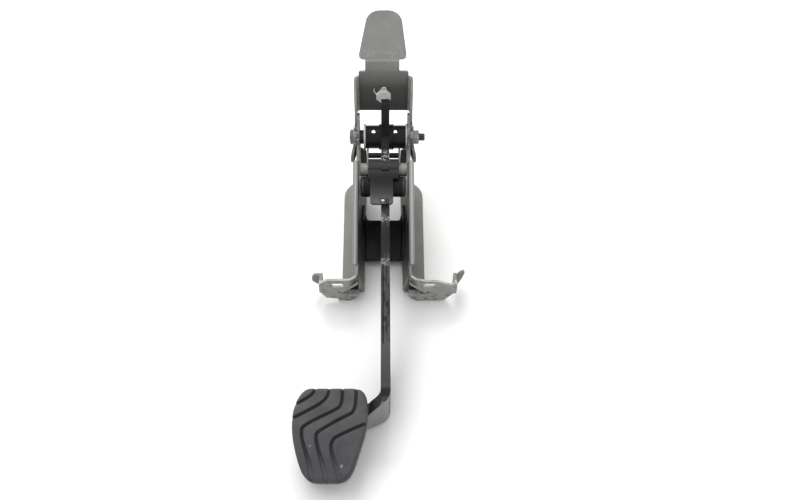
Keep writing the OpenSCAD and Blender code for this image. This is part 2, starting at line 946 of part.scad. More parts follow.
// Tongue plate: rolled round the pin, slotted for the arm and swept forwards over it
module tongue_plate() {
    edge = concat(
        arc(roll, roll_r, 10, 140, 12),
        arc([15.9, 79.3], 4.6, -48, -92, 4),
        [[-19, 72]]);
    end_r = 4;
    color(black)
        difference() {
            intersection() {
                across(-20, 20)
                    strip(edge, plate_t);
                linear_extrude(end_top)
                    union() {
                        translate([-link_x + 0.05, tongue_wide])
                            square([2 * link_x - 0.1, 35]);
                        round_rect(-12.7, -19, 9.1, 30, end_r);
                    }
            }
            translate([-0.5, -14, 0])
                cylinder(h = end_top, r = 2.1);
            translate([arm_x - tube_fit, slot_y, 0])
                cube([arm_t + 2 * tube_fit, gap_w, end_top]);
        }
}

module tongue_pin() {
    color(zinc)
        axle(roll, -wall_in + 0.7, wall_in - 0.7, pin_d / 2);
}

module left_pin_bush() {
    color(nylon)
        sleeve(roll, -wall_in + 1, -link_x - plate_t - 0.05, pin_bush_r, pin_d / 2 + tube_fit);
}

module right_pin_bush() {
    color(nylon)
        sleeve(roll, link_x + plate_t + 0.05, wall_in - 1, pin_bush_r, pin_d / 2 + tube_fit);
}

// Cross tube welded through the arm for the push rod's pin
module cross_tube() {
    color(black)
        sleeve(cross, cross_left + cross_bush_t, cross_right - cross_bush_t, cross_d / 2, rod_bore / 2 + 2.5);
}

// Bush pressed into an end of the cross tube, with a rounded outer rim
module cross_bush(x_end, turn) {
    rim = 2.4;
    color(rubber)
        translate([x_end, cross[0], cross[1]])
            rotate([0, turn, 0])
                rotate_extrude()
                    polygon(concat(
                        [[rod_bore / 2, -8], [rod_bore / 2 + 2.4, -8], [rod_bore / 2 + 2.4, 0], [cross_d / 2, 0]],
                        arc([cross_d / 2 - rim, cross_bush_t - rim], rim, 0, 90, 4),
                        [[rod_bore / 2, cross_bush_t]]));
}

module left_cross_bush() {
    cross_bush(cross_left + cross_bush_t, -90);
}

module right_cross_bush() {
    cross_bush(cross_right - cross_bush_t, 90);
}

// Moves to the pad's own frame: z = 0 is the top of the tread
module pad_frame() {
    translate(pad_mid)
        rotate([pad_tilt, 0, 0])
            children();
}

// Pad outline in its own plane, made larger by grow all round
module pad_plan(grow) {
    half = pad_w / 2 + grow;
    top = pad_len * 0.52 + grow;
    low = -pad_len * 0.475 - grow;
    polygon(concat(
        curve([-16 - grow * 0.3, top], [-23 - grow, top], [-half, 26], [-half, 13]),
        curve([-half, 11], [-half, 0], [-24 - grow, -16], [-21.5 - grow, -24], 5),
        curve([-20 - grow, -26], [-17.5 - grow, low + 3], [-14, low], [-8, low], 5),
        curve([5, low], [15, low], [17.5 + grow, low + 5], [20.5 + grow, -21], 6),
        curve([23 + grow, -13], [26 + grow, -4], [half - 0.5, 4], [half, 15], 5),
        curve([half, 22], [half - 0.5, top - 1], [23 + grow, top], [16, top], 7)));
}

// One groove line of the tread, as points in the pad's plane
groove_lines = [
    concat([[-29, 24]], curve([-24, 26], [-15, 31.5], [-12.5, 32.5], [-11.5, 40], 5)),
    concat([[-32, 12]], curve([-27, 14.5], [-5, 26], [-1, 27], [-1, 40], 6)),
    concat(
        [[-11, -36]],
        curve([-12.2, -30], [-15, -14], [-21.4, -6], [-21.4, 3], 5),
        curve([-21.2, 6], [-20, 9], [-4, 16], [4, 20], 4),
        curve([7, 22], [9.5, 24], [9.4, 29], [9.4, 40], 4)),
    concat(
        [[-0.5, -36]],
        curve([-1.4, -31], [-4, -18], [-10, -9], [-10.1, 0], 5),
        curve([-9.5, 2.5], [-5, 6], [6, 12], [13, 15.5], 4),
        curve([17, 17.5], [20.3, 20], [20.3, 28], [20.3, 40], 4)),
    concat(
        [[10.5, -36]],
        curve([9.1, -31], [5, -18], [0.5, -11], [2, -5], 5),
        curve([4, -1.5], [12, 3], [24, 8], [32, 11], 5))
];

// Steel plate welded across the end of the arm
module pad_plate() {
    color(black)
        pad_frame()
            translate([0, 0, -pad_under - pad_plate_t])
                linear_extrude(pad_plate_t)
                    pad_plan(-4);
}

// Rubber pad: a thick tread with wave grooves and a skirt wrapped round the plate
module pad_rubber() {
    color(rubber)
        difference() {
            pad_frame()
                difference() {
                    translate([0, 0, -pad_t])
                        linear_extrude(pad_t)
                            pad_plan(0);
                    translate([0, 0, -pad_t - past])
                        linear_extrude(pad_t - pad_under + past)
                            pad_plan(-7);
                    translate([0, 0, -pad_under - pad_plate_t - 0.05])
                        linear_extrude(pad_plate_t + 0.1)
                            pad_plan(-3.9);
                    for (line = groove_lines)
                        translate([0, 0, -groove_d])
                            linear_extrude(groove_d + past)
                                polygon(concat(
                                    beside(line, groove_w / 2),
                                    reversed(beside(line, -groove_w / 2))));
                }
            arm_notch();
        }
}

// The room that the arm takes where it passes the pad's skirt
module arm_notch() {
    intersection() {
        linear_extrude(end_top)
            arm_plan(0.3);
        pad_frame()
            translate([-pad_w, -pad_len, -pad_t - past])
                cube([2 * pad_w, 2 * pad_len, pad_t - pad_under - pad_plate_t + past]);
    }
}

left_cheek();
right_cheek();
cross_web();
upper_bracket();
stop_clip();
pivot_bolt();
left_washer();
right_washer();
pivot_nut();
pivot_spacer();
pivot_tube();
left_bush();
right_bush();
pedal_arm();
left_link();
right_link();
link_bar();
tongue_plate();
tongue_pin();
left_pin_bush();
right_pin_bush();
cross_tube();
left_cross_bush();
right_cross_bush();
pad_plate();
pad_rubber();
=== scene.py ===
import json
import math

import bmesh
import bpy
import numpy as np
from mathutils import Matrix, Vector


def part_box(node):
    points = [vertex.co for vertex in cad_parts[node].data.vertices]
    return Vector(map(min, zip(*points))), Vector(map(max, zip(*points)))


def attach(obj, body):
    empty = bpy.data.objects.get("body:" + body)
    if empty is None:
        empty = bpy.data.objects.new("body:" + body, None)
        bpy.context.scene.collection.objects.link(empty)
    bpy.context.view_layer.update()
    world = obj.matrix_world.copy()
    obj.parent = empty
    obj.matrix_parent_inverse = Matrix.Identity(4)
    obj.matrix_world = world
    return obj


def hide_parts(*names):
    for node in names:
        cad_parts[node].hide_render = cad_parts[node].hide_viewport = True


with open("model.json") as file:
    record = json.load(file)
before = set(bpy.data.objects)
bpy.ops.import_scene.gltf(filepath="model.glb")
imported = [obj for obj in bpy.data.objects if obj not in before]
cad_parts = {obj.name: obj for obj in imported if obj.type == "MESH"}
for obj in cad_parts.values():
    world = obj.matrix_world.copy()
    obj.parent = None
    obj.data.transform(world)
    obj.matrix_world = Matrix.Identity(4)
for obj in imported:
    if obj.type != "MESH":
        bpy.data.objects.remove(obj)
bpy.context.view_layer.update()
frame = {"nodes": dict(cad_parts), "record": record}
MM = 0.001


def corners(name):
    """A node's lowest and highest corner, in millimetres."""
    return np.round(np.array(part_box(name)) / MM, 3)


# Places and sizes of the part, in millimetres
PIVOT = corners("pivot_spacer").mean(axis=0)[1:]
HEAD_OUT, BOLT_END = corners("pivot_bolt")[:, 0]
HEAD_FACE = corners("left_washer")[0, 0]
NUT_OUT = corners("pivot_nut")[1, 0]
HEX_W = 13
BOLT_D = 7.9
THREAD_PITCH = 1.25
THREAD_DEPTH = 0.62
TIP_LEN = 0.8
TIP_FALL = 0.7
PAD_MID = (-41.8, -233, 30)
PAD_TILT = math.radians(17)
PAD_W = 59
PAD_LEN = 71.5
PAD_T = 12
PAD_RIM = 2.6
PAD_SPOTS = [(-14.3, -7.4, 0.8), (10.2, -22.1, 1.3)]
PLATE_TOP = 7
PLATE_T = 3
ARM_MID_X = 1.7
ARM_HALF = 5.5
BEND_TURN = math.radians(60)
BEND_RADIUS = 10
BEND_Y = -195
WALL_IN = 24
CLIP_Z = 120.5
FOOT_BACK_Y = -75.6
PEDAL_RUN = (-220, 100)


# Camera, light and floor, in metres

def make_camera():
    data = bpy.data.cameras.new("camera")
    data.sensor_width = 36
    data.lens = 29.7
    data.shift_x = 0.0206
    data.dof.use_dof = False
    data.clip_start = 0.01
    camera = bpy.data.objects.new("camera", data)
    camera.location = (0, -0.470, 0.500)
    camera.rotation_euler = (math.radians(42.5), 0, 0)
    bpy.context.scene.collection.objects.link(camera)
    bpy.context.scene.camera = camera


def make_lamp(name, place, target, size, power, mirrored=True):
    data = bpy.data.lights.new(name, "AREA")
    data.shape = "RECTANGLE"
    data.size, data.size_y = size
    data.energy = power
    lamp = bpy.data.objects.new(name, data)
    lamp.location = place
    lamp.visible_glossy = mirrored
    aim = Vector(target) - Vector(place)
    lamp.rotation_euler = aim.to_track_quat("-Z", "Y").to_euler()
    bpy.context.scene.collection.objects.link(lamp)


def make_world(strength):
    """A plain pale room, a little brighter above."""
    world = bpy.data.worlds.new("room")
    bpy.context.scene.world = world
    world.use_nodes = True
    tree = world.node_tree
    tree.nodes.clear()
    height = axis(tree, node(tree, "ShaderNodeTexCoord").outputs["Generated"], "Z")
    shade = ramp(tree, height, [(0.3, 0.8), (0.75, 0.85), (1.0, 0.9)])
    back = node(tree, "ShaderNodeBackground", {"Strength": strength, "Color": shade})
    node(tree, "ShaderNodeOutputWorld", {"Surface": back.outputs[0]})


def make_floor(half, material):
    mesh = bpy.data.meshes.new("floor")
    square = [(-half, -half, 0), (half, -half, 0), (half, half, 0), (-half, half, 0)]
    mesh.from_pydata(square, [], [(0, 1, 2, 3)])
    mesh.materials.append(material)
    floor = bpy.data.objects.new("floor", mesh)
    bpy.context.scene.collection.objects.link(floor)


# Node helpers: a value given to a socket is a number, a colour or another node's output

def node(tree, kind, inputs=(), **settings):
    made = tree.nodes.new(kind)
    for name, value in settings.items():
        setattr(made, name, value)
    for name, value in dict(inputs).items():
        plug(tree, made.inputs[name], value)
    return made


def plug(tree, socket, value):
    if isinstance(value, bpy.types.NodeSocket):
        tree.links.new(value, socket)
    elif isinstance(value, tuple) and len(value) == 3 and socket.type == "RGBA":
        socket.default_value = (*value, 1)
    else:
        socket.default_value = value


def position(tree, stretch=(1, 1, 1)):
    """Coordinates in metres in the part's own frame, stretched along the axes."""
    source = node(tree, "ShaderNodeTexCoord").outputs["Object"]
    return node(tree, "ShaderNodeMapping", {"Vector": source, "Scale": stretch}).outputs["Vector"]


def axis(tree, source, letter):
    return node(tree, "ShaderNodeSeparateXYZ", {"Vector": source}).outputs[letter]


def along(tree, letter):
    """Where the surface lies along an axis of the part, in metres."""
    return axis(tree, position(tree), letter)


def facing(tree, letter):
    """How far the flat surface looks along an axis of the part, from -1 to 1."""
    return axis(tree, node(tree, "ShaderNodeNewGeometry").outputs["True Normal"], letter)


def noise(tree, size_mm, detail, stretch=(1, 1, 1)):
    return node(tree, "ShaderNodeTexNoise", {
        "Vector": position(tree, stretch),
        "Scale": 1 / (size_mm * MM),
        "Detail": detail,
        "Roughness": 0.55,
    }).outputs["Fac"]


def ramp(tree, value, stops):
    """Maps a value through grey levels or colours given as (position, level)."""
    made = node(tree, "ShaderNodeValToRGB", {"Fac": value})
    points = made.color_ramp.elements
    while len(points) < len(stops):
        points.new(0.5)
    for point, (at, level) in zip(points, stops):
        point.position = at
        point.color = (*level, 1) if isinstance(level, tuple) else (level, level, level, 1)
    return made.outputs["Color"]


def bands(*spans):
    """Stops that are 0 but for spans given as (start, end, level, softness of the ends)."""
    stops = []
    for start, end, level, soft in spans:
        stops += [(start - soft, 0.0), (start, level), (end, level), (end + soft, 0.0)]
    return stops


def calc(tree, operation, a, b=0.0, clamp=False):
    made = node(tree, "ShaderNodeMath", operation=operation, use_clamp=clamp)
    plug(tree, made.inputs[0], a)
    plug(tree, made.inputs[1], b)
    return made.outputs[0]


def size_of(tree, value):
    return calc(tree, "ABSOLUTE", value)


def over(tree, value, limit):
    return calc(tree, "GREATER_THAN", value, limit)


def under(tree, value, limit):
    return calc(tree, "LESS_THAN", value, limit)


def grow(tree, value, start, end):
    """0 up to start and 1 from end on, growing evenly between them. The end may be the lower one."""
    return calc(tree, "MULTIPLY", calc(tree, "SUBTRACT", value, start), 1 / (end - start), clamp=True)


def levels(tree, letter, reach, stops):
    """A level for each place along an axis, from stops given as (millimetres, level) within a reach."""
    first, last = reach
    share = grow(tree, along(tree, letter), first * MM, last * MM)
    return ramp(tree, share, [((at - first) / (last - first), level) for at, level in stops])


def product(tree, first, *others):
    for other in others:
        first = calc(tree, "MULTIPLY", first, other)
    return first


def blend(tree, share, a, b):
    """Colour a where share is 0 and colour b where it is 1."""
    made = node(tree, "ShaderNodeMix", data_type="RGBA")
    plug(tree, made.inputs[0], share)
    plug(tree, made.inputs[6], a)
    plug(tree, made.inputs[7], b)
    return made.outputs[2]


def paint_over(tree, base, layers):
    """Lays colours over a base, each given as (share, strength, colour), the last one on top."""
    for share, strength, colour in layers:
        base = blend(tree, product(tree, share, strength), base, colour)
    return base


def vector(tree, operation, a, b):
    return node(tree, "ShaderNodeVectorMath", {0: a, 1: b}, operation=operation).outputs["Value"]


def bump(tree, height, depth_mm, strength, normal=None):
    inputs = {"Height": height, "Strength": strength, "Distance": depth_mm * MM}
    made = node(tree, "ShaderNodeBump", inputs)
    if normal is not None:
        tree.links.new(normal, made.inputs["Normal"])
    return made.outputs["Normal"]


def rounded(tree, radius_mm):
    return node(tree, "ShaderNodeBevel", {"Radius": radius_mm * MM}, samples=6).outputs["Normal"]


def edge_share(tree, radius_mm, gain):
    """1 on sharp edges and 0 on flats, from how far a rounded edge turns the surface."""
    flat = node(tree, "ShaderNodeNewGeometry").outputs["True Normal"]
    turn = vector(tree, "DOT_PRODUCT", rounded(tree, radius_mm), flat)
    return calc(tree, "MULTIPLY", calc(tree, "SUBTRACT", 1.0, turn), gain, clamp=True)


def finish_material(name, build):
    material = bpy.data.materials.new(name)
    material.use_nodes = True
    tree = material.node_tree
    tree.nodes.clear()
    shader = tree.nodes.new("ShaderNodeBsdfPrincipled")
    node(tree, "ShaderNodeOutputMaterial", {"Surface": shader.outputs[0]})
    for socket, value in build(tree).items():
        plug(tree, shader.inputs[socket], value)
    return material


# Marks, painted shade and painted highlights on the bracket's grey coat: each is 1 where the mark is full and
# 0 where there is none

def inside_painted_shade(tree):
    """Painted shade on the bracket's inner faces, darkened as the walls shade each other."""
    across = along(tree, "X")
    side = calc(tree, "SIGN", across)
    inward = calc(tree, "MULTIPLY", side, product(tree, facing(tree, "X"), -3.0), clamp=True)
    return product(tree, inward, under(tree, size_of(tree, across), (WALL_IN + 0.6) * MM))


def stop_wall_painted_shade(tree):
    """Painted shade on the front of the bracket's end wall, darker towards its lower edge."""
    front = under(tree, facing(tree, "Y"), -0.8)
    back_part = over(tree, along(tree, "Y"), 85 * MM)
    return product(tree, front, back_part, grow(tree, along(tree, "Z"), 150 * MM, 125 * MM))


def foot_front(tree):
    """The front faces of the two feet."""
    front = under(tree, facing(tree, "Y"), -0.5)
    return product(tree, front, under(tree, along(tree, "Y"), -77.5 * MM))


def foot_light_and_marks(tree):
    """Painted light over the front faces of the two feet, strongest in long markings of handling."""
    # Every part of the feet's fronts gets some of this painted light; the long markings get it all.
    light_and_marks = ramp(tree, noise(tree, 3, 4, (0.25, 1, 1)), [(0.40, 0.55), (0.52, 1.0)])
    return product(tree, foot_front(tree), light_and_marks)


def foot_grime(tree):
    """Streaks of old grime on the front faces of the feet."""
    dirt_and_shade = ramp(tree, noise(tree, 2.6, 5, (0.4, 1, 1)), [(0.55, 0.0), (0.66, 0.7)])
    return product(tree, foot_front(tree), dirt_and_shade)


def foot_edge_wear_and_highlight(tree):
    """The sheet's cut edges that look up along the feet, worn bright and lightened further as a painted
    highlight.
    """
    up = over(tree, facing(tree, "Z"), 0.5)
    near = under(tree, along(tree, "Y"), -72 * MM)
    high = over(tree, along(tree, "Z"), 6 * MM)
    patch = ramp(tree, noise(tree, 5, 3), [(0.35, 0.35), (0.55, 0.9)])
    return product(tree, up, near, high, patch)


def dart_painted_shade(tree):
    """Painted shade on the floors of the darts pressed into the feet."""
    up = over(tree, facing(tree, "Z"), 0.9)
    length = ramp(tree, grow(tree, along(tree, "Y"), 0, -100 * MM), bands((0.62, 0.79, 1.0, 0.01)))
    height = levels(tree, "Z", (0, 20), bands((6.2, 10.6, 1.0, 0.2)))
    return product(tree, up, length, height)


def bend_highlight_and_wear(tree):
    """A painted highlight along the bend under the top tab, with faint worn markings just above it."""
    reach = (150, 170)
    # The line is the painted highlight on the bend.
    line = levels(tree, "Z", reach, [(152, 0.0), (152.8, 0.55), (154, 0.55), (155, 0.0)])
    light_and_marks = ramp(tree, noise(tree, 4, 4, (1, 1, 0.5)), [(0.52, 0.0), (0.60, 1.0)])
    band = levels(tree, "Z", reach, [(154.4, 0.0), (155.4, 0.25), (159, 0.2), (162, 0.0)])
    front = under(tree, facing(tree, "Y"), -0.5)
    low = under(tree, along(tree, "Z"), 168 * MM)
    return product(tree, calc(tree, "MAXIMUM", line, product(tree, light_and_marks, band)), front, low)


def pivot_dark_patches(tree):
    """Dark patches on the cut edges round the pivot, thinning out away from it."""
    reach = 30 * MM
    away = [product(tree, calc(tree, "SUBTRACT", along(tree, letter), middle * MM), 1 / reach)
            for letter, middle in (("Y", 64), ("Z", 85))]
    far = calc(tree, "ADD", *[product(tree, offset, offset) for offset in away])
    edge = under(tree, size_of(tree, facing(tree, "X")), 0.7)
    dirt_and_shade = ramp(tree, noise(tree, 2.6, 5), [(0.43, 0.15), (0.52, 0.95)])
    return product(tree, grow(tree, far, 1.0, 0.375), edge, dirt_and_shade)


def wall_edge_wear_and_highlight(tree):
    """The front cut edges of the upper bracket's side walls, worn lighter and lightened further as a painted
    highlight.
    """
    front = under(tree, facing(tree, "Y"), -0.5)
    outer = over(tree, size_of(tree, along(tree, "X")), (WALL_IN + 0.2) * MM)
    high = over(tree, along(tree, "Z"), 92 * MM)
    patch = ramp(tree, noise(tree, 6, 4), [(0.35, 0.5), (0.6, 1.0)])
    return product(tree, front, outer, high, patch)


def lip_highlight(tree):
    """A painted highlight along each lip, a little in from its outer edge."""
    across = grow(tree, size_of(tree, along(tree, "X")), WALL_IN * MM, (WALL_IN + 8) * MM)
    stripe = ramp(tree, across, [(0.0, 0.0), (0.02, 0.3), (0.24, 0.3), (0.34, 1.0), (0.44, 1.0), (0.54, 0.3)])
    front = under(tree, facing(tree, "Y"), -0.3)
    rising = over(tree, facing(tree, "Z"), 0.5)
    return product(tree, stripe, front, rising, under(tree, along(tree, "Y"), 32 * MM))


def grey_paint(tree):
    """Satin grey coat on pressed sheet: faint mottling, small markings, cut edges bright from wear and from a
    painted highlight, and the painted shade and highlights of the layers below.
    """
    grain = noise(tree, 1.2, 3)
    small_marks = ramp(tree, noise(tree, 5, 6, (1, 0.35, 1)), [(0.62, 0.0), (0.68, 1.0)])
    patchy = ramp(tree, noise(tree, 3, 3), [(0.35, 0.3), (0.6, 1.0)])
    # The edges are lighter partly as worn coat and partly as a painted highlight.
    edges = product(tree, edge_share(tree, 0.5, 4.5), patchy)
    coat = ramp(tree, noise(tree, 22, 4), [(0.3, (0.215, 0.213, 0.203)), (0.7, (0.262, 0.261, 0.249))])
    return {
        "Base Color": paint_over(tree, coat, [
            (small_marks, 0.25, (0.34, 0.34, 0.33)),
            # painted shade on the bracket's inner faces
            (inside_painted_shade(tree), 0.8, (0.045, 0.046, 0.044)),
            # painted shade on the end wall's front, darker towards its lower edge
            (stop_wall_painted_shade(tree), 0.75, (0.045, 0.045, 0.044)),
            # painted light on the feet's front faces, with handling markings
            (foot_light_and_marks(tree), 0.8, (0.38, 0.38, 0.367)),
            (pivot_dark_patches(tree), 1.0, (0.045, 0.045, 0.043)),
            (foot_grime(tree), 1.0, (0.07, 0.07, 0.066)),
            # painted shade on the darts' floors
            (dart_painted_shade(tree), 0.9, (0.022, 0.022, 0.021)),
            # worn coat and painted highlight on the walls' front edges
            (wall_edge_wear_and_highlight(tree), 0.55, (0.50, 0.50, 0.485)),
            # worn coat and painted highlight on the feet's upward cut edges
            (foot_edge_wear_and_highlight(tree), 1.0, (0.56, 0.56, 0.54)),
            # painted highlight on the tab's bend, with worn markings above it
            (bend_highlight_and_wear(tree), 1.0, (0.42, 0.42, 0.405)),
            # painted highlight along the lips
            (lip_highlight(tree), 1.0, (0.52, 0.515, 0.50)),
            # worn coat and painted highlight on the sharp edges
            (edges, 1.0, (0.52, 0.52, 0.50)),
        ]),
        "Roughness": ramp(tree, grain, [(0.3, 0.40), (0.7, 0.52)]),
        "Specular IOR Level": 0.4,
        "Normal": bump(tree, grain, 0.04, 0.5, rounded(tree, 0.5)),
    }


# Marks, painted sheen and painted highlights on the pedal's black coat, of the same kind

def upward(tree):
    """What looks up: full up to a lean of 32 degrees, and none from 53 degrees on."""
    return grow(tree, facing(tree, "Z"), 0.6, 0.85)


def on_arm(tree):
    """The arm's own width, and not what is beside it."""
    return under(tree, size_of(tree, calc(tree, "SUBTRACT", along(tree, "X"), ARM_MID_X * MM)), 4.5 * MM)


def dust_and_sheen(tree):
    """Dusty streaks and painted sheen on what looks up: the sheen is set by place along the arm, in streaks
    along it, and is strongest round the tongue's tip.
    """
    # These levels along the arm paint its sheen and its dark stretches.
    level = levels(tree, "Y", PEDAL_RUN, [
        (-195.04, 0.0), (-192.8, 0.45), (-188.64, 0.4), (-156, 0.75), (-149.6, 0.6), (-111.2, 0.5),
        (-76, 0.5), (-66.4, 0.0), (-40.8, 0.0), (-28, 0.9), (-16.8, 1.0), (-5.6, 0.35), (7.2, 0.05),
        (16.8, 0.0), (23.2, 0.4), (32.8, 0.3), (36, 0.0),
    ])
    streak = ramp(tree, noise(tree, 1.8, 2, (1, 0.02, 1)), [(0.44, 0.05), (0.53, 1.0)])
    streaky = levels(tree, "Y", PEDAL_RUN, [(-154.4, 0.0), (-152.8, 1.0), (-12.64, 1.0), (-11.36, 0.0)])
    streaky = product(tree, streaky, on_arm(tree))
    lines = calc(tree, "MAXIMUM", streak, calc(tree, "SUBTRACT", 1.0, streaky))
    raised = over(tree, along(tree, "Z"), 31 * MM)
    return product(tree, level, upward(tree), lines, raised)


def top_painted_highlight(tree):
    """A painted highlight on the tops near the pivot, where the surface leans towards the tab."""
    leaning = grow(tree, facing(tree, "Y"), 0.12, 0.12 + 1 / 3)
    high = over(tree, along(tree, "Z"), 74 * MM)
    return product(tree, leaning, grow(tree, facing(tree, "Z"), 0.3, 0.7), high)


def arm_end_painted_sheen(tree):
    """The greyer front of the arm's broad end beside the pad, lightened as a painted sheen on the face that
    looks forward.
    """
    front = grow(tree, facing(tree, "Y"), -0.25, -0.5)
    return product(tree, front, under(tree, along(tree, "Y"), -196 * MM))


def scuffs_and_glints(tree):
    """Faint scuffs all over, bright worn specks at the tongue's roll, and painted highlights as bright specks
    in two places before the tongue.
    """
    places = levels(tree, "Y", PEDAL_RUN, bands(
        # The first two places are painted highlights; the third, at the roll, is worn metal.
        (-81.44, -75.36, 0.6, 1.6), (-33.44, -29.92, 1.0, 1.28), (33.76, 45.92, 1.0, 1.6),
    ))
    specks = ramp(tree, noise(tree, 2.4, 3), [(0.48, 0.0), (0.56, 1.0)])
    scuff = ramp(tree, noise(tree, 4, 7, (1, 0.25, 1)), [(0.68, 0.0), (0.74, 1.0)])
    bright = product(tree, specks, places, upward(tree), on_arm(tree))
    return calc(tree, "MAXIMUM", product(tree, scuff, 0.15), bright)


def arm_dark_line(tree):
    """A dark uneven line along the lower half of the arm's top."""
    wave = product(tree, noise(tree, 5, 4), -1.4 * MM)
    away = calc(tree, "ADD", calc(tree, "ADD", along(tree, "X"), 1.0 * MM), wave)
    length = levels(tree, "Y", PEDAL_RUN, [(-157.6, 0.0), (-156, 0.9), (-82.4, 0.9), (-80.16, 0.0)])
    return product(tree, under(tree, size_of(tree, away), 0.55 * MM), length, upward(tree), on_arm(tree))


def black_paint(tree):
    """Smooth black coat with dusty streaks and painted sheen, scuffs, painted highlights, and a grey arm end
    with painted sheen.
    """
    cloud = noise(tree, 14, 4)
    coat = ramp(tree, cloud, [(0.3, (0.011, 0.011, 0.012)), (0.75, (0.021, 0.021, 0.023))])
    patchy = ramp(tree, noise(tree, 4, 4), [(0.5, 0.0), (0.62, 1.0)])
    edges = product(tree, edge_share(tree, 0.4, 2.0), patchy)
    return {
        "Base Color": paint_over(tree, coat, [
            # painted sheen with dusty streaks on what looks up
            (dust_and_sheen(tree), 1.0, (0.105, 0.108, 0.112)),
            # painted highlight on the tops near the pivot
            (top_painted_highlight(tree), 0.7, (0.105, 0.106, 0.108)),
            # painted sheen on the front of the arm's broad end
            (arm_end_painted_sheen(tree), 1.0, (0.25, 0.25, 0.248)),
            # scuffs, worn specks at the roll and painted highlights before the tongue
            (scuffs_and_glints(tree), 1.0, (0.34, 0.34, 0.335)),
            (arm_dark_line(tree), 1.0, (0.006, 0.006, 0.007)),
            (edges, 1.0, (0.20, 0.20, 0.20)),
        ]),
        "Roughness": ramp(tree, cloud, [(0.3, 0.30), (0.7, 0.42)]),
        "Specular IOR Level": 0.2,
        "Normal": bump(tree, noise(tree, 2.2, 2), 0.03, 0.5, rounded(tree, 0.6)),
    }


# Finishes of the smaller pieces, the pad and the floor

def zinc_plate(tree):
    """Dull zinc plate, brushed and spotted."""
    spots = noise(tree, 3, 5)
    return {
        "Base Color": ramp(tree, spots, [(0.3, (0.22, 0.22, 0.21)), (0.7, (0.42, 0.42, 0.40))]),
        "Metallic": 0.75,
        "Roughness": ramp(tree, spots, [(0.3, 0.5), (0.7, 0.34)]),
        "Normal": bump(tree, noise(tree, 0.8, 3), 0.02, 0.5, rounded(tree, 0.35)),
    }


def bolt_metal(tree):
    """Greyed zinc on the head, brown rust on the free thread."""
    free = over(tree, along(tree, "X"), (NUT_OUT - 0.4) * MM)
    patch = ramp(tree, noise(tree, 2, 5), [(0.35, 0.55), (0.6, 1.0)])
    clean = ramp(tree, noise(tree, 3, 5), [(0.3, (0.13, 0.13, 0.125)), (0.7, (0.25, 0.25, 0.235))])
    rust = ramp(tree, noise(tree, 1.1, 5), [(0.35, (0.050, 0.026, 0.018)), (0.7, (0.13, 0.075, 0.055))])
    share = product(tree, free, patch)
    return {
        "Base Color": blend(tree, share, clean, rust),
        "Metallic": product(tree, calc(tree, "SUBTRACT", 1.0, share), 0.6),
        "Roughness": ramp(tree, share, [(0.0, 0.45), (1.0, 0.85)]),
        "Normal": bump(tree, noise(tree, 0.7, 4), 0.05, 0.6, rounded(tree, 0.3)),
    }


def nylon(tree):
    """Light grey nylon, a little translucent and greasy."""
    cloud = noise(tree, 4, 4)
    return {
        "Base Color": ramp(tree, cloud, [(0.3, (0.58, 0.585, 0.57)), (0.65, (0.72, 0.725, 0.71))]),
        "Roughness": 0.42,
        "Subsurface Weight": 0.12,
        "Subsurface Radius": (0.002, 0.002, 0.002),
        "Normal": bump(tree, noise(tree, 0.9, 3), 0.03, 0.4, rounded(tree, 0.4)),
    }


def shaded_bush_nylon(tree):
    """Greyer nylon for the pin's bushes, with painted shade towards their undersides."""
    cloud = noise(tree, 3, 4)
    # painted shade growing towards the bushes' undersides
    low = grow(tree, along(tree, "Z"), 78 * MM, 66 * MM)
    clean = ramp(tree, cloud, [(0.3, (0.36, 0.36, 0.35)), (0.65, (0.48, 0.48, 0.46))])
    return {
        "Base Color": paint_over(tree, clean, [(low, 0.8, (0.07, 0.07, 0.068))]),
        "Roughness": 0.35,
        "Normal": bump(tree, cloud, 0.03, 0.4, rounded(tree, 0.4)),
    }


def greased_steel(tree):
    """Dark steel under old grease, for the spacer on the bolt."""
    cloud = noise(tree, 2.5, 4)
    return {
        "Base Color": ramp(tree, cloud, [(0.35, (0.015, 0.015, 0.014)), (0.7, (0.05, 0.05, 0.048))]),
        "Roughness": 0.4,
        "Normal": bump(tree, cloud, 0.03, 0.4, rounded(tree, 0.4)),
    }


def pad_scuffs(tree):
    """Small worn spots: scattered ones, and one round spot for each of PAD_SPOTS as (u, v, radius)."""
    scuff = ramp(tree, noise(tree, 3.2, 7), [(0.69, 0.0), (0.74, 1.0)])
    for u, v, radius in PAD_SPOTS:
        centre = tuple(MM * c for c in pad_to_part([(u, v, 0)])[0])
        wave = product(tree, noise(tree, 1.0, 3), 1.6 * MM)
        far = calc(tree, "ADD", vector(tree, "DISTANCE", position(tree), centre), wave)
        scuff = calc(tree, "MAXIMUM", scuff, under(tree, far, (radius + 0.8) * MM))
    return scuff


def groove_painted_shade(tree):
    """Painted shade on the grooves' floors, from how far they lie under the tread's plane, and not on the
    pad's sides.
    """
    up = vector(tree, "DOT_PRODUCT", position(tree), (0, -math.sin(PAD_TILT), math.cos(PAD_TILT)))
    top = (-PAD_MID[1] * math.sin(PAD_TILT) + PAD_MID[2] * math.cos(PAD_TILT)) * MM
    depth = grow(tree, up, top, top - 3 * MM)
    return product(tree, ramp(tree, depth, [(0.3, 0.0), (0.65, 1.0)]), under(tree, depth, 0.98))


